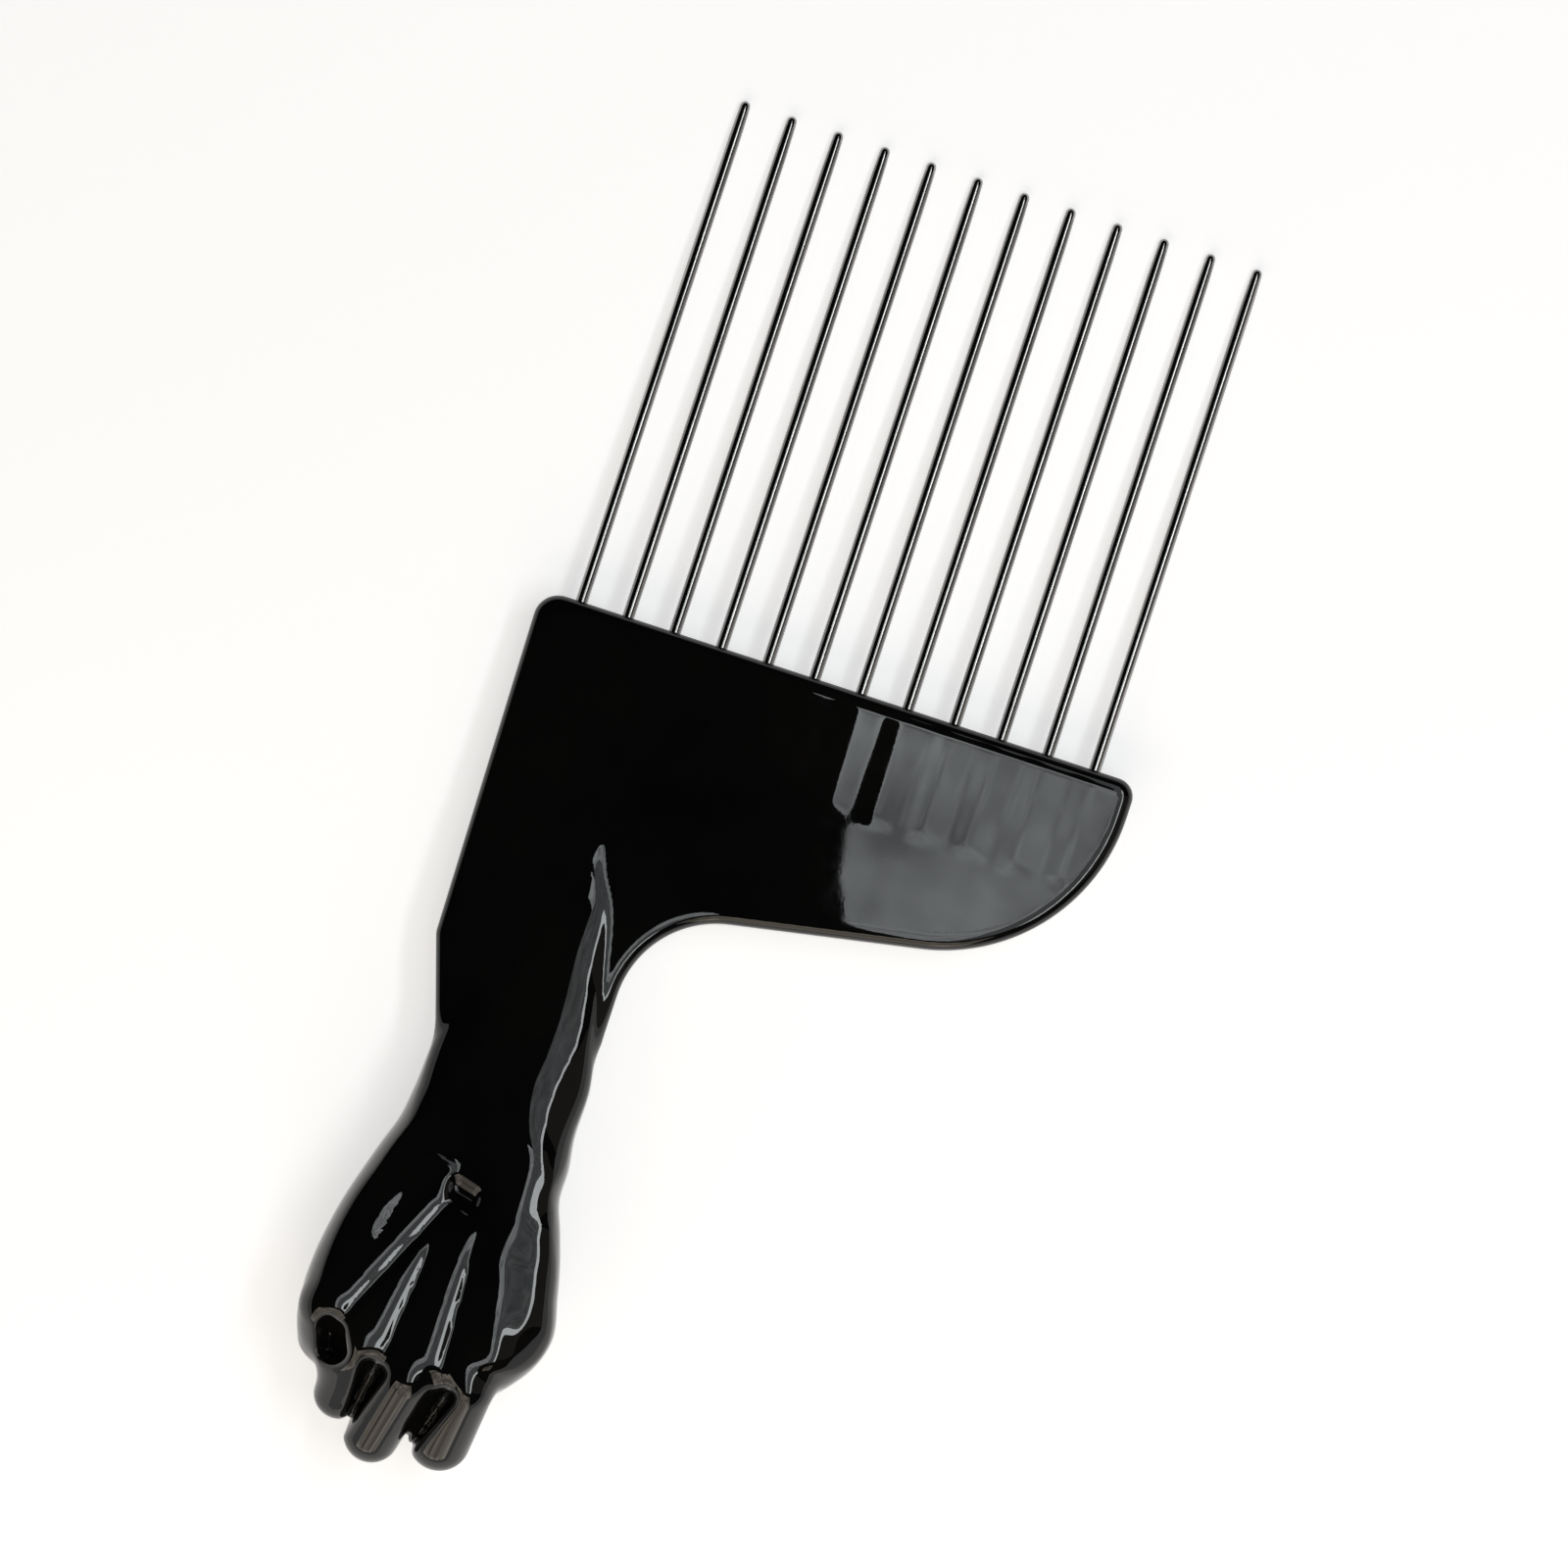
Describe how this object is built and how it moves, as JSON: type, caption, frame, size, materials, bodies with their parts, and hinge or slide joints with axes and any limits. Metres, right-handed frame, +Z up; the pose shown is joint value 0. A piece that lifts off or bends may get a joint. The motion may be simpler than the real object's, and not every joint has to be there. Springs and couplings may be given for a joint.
{
  "type": "afro pick",
  "caption": "Hair pick with a row of straight steel tines moulded into a glossy black handle: a winged blade whose grip is a forearm ending in a closed fist.",
  "frame": {"origin": "on the table, below the middle of the pick as it lies on its tine tips and fist", "axes": "+X across the comb towards the wing, +Y along the pick towards the tine tips, +Z up, out of the back of the fist"},
  "size_m": [0.0834, 0.1844, 0.0203],
  "materials": {
    "black_plastic": "moulded gloss",
    "tine_steel": "bright plated wire"
  },
  "bodies": {
    "root": {"handle": "black_plastic", "tine_01": "tine_steel", "tine_02": "tine_steel", "tine_03": "tine_steel", "tine_04": "tine_steel", "tine_05": "tine_steel", "tine_06": "tine_steel", "tine_07": "tine_steel", "tine_08": "tine_steel", "tine_09": "tine_steel", "tine_10": "tine_steel", "tine_11": "tine_steel", "tine_12": "tine_steel"}
  },
  "joints": []
}
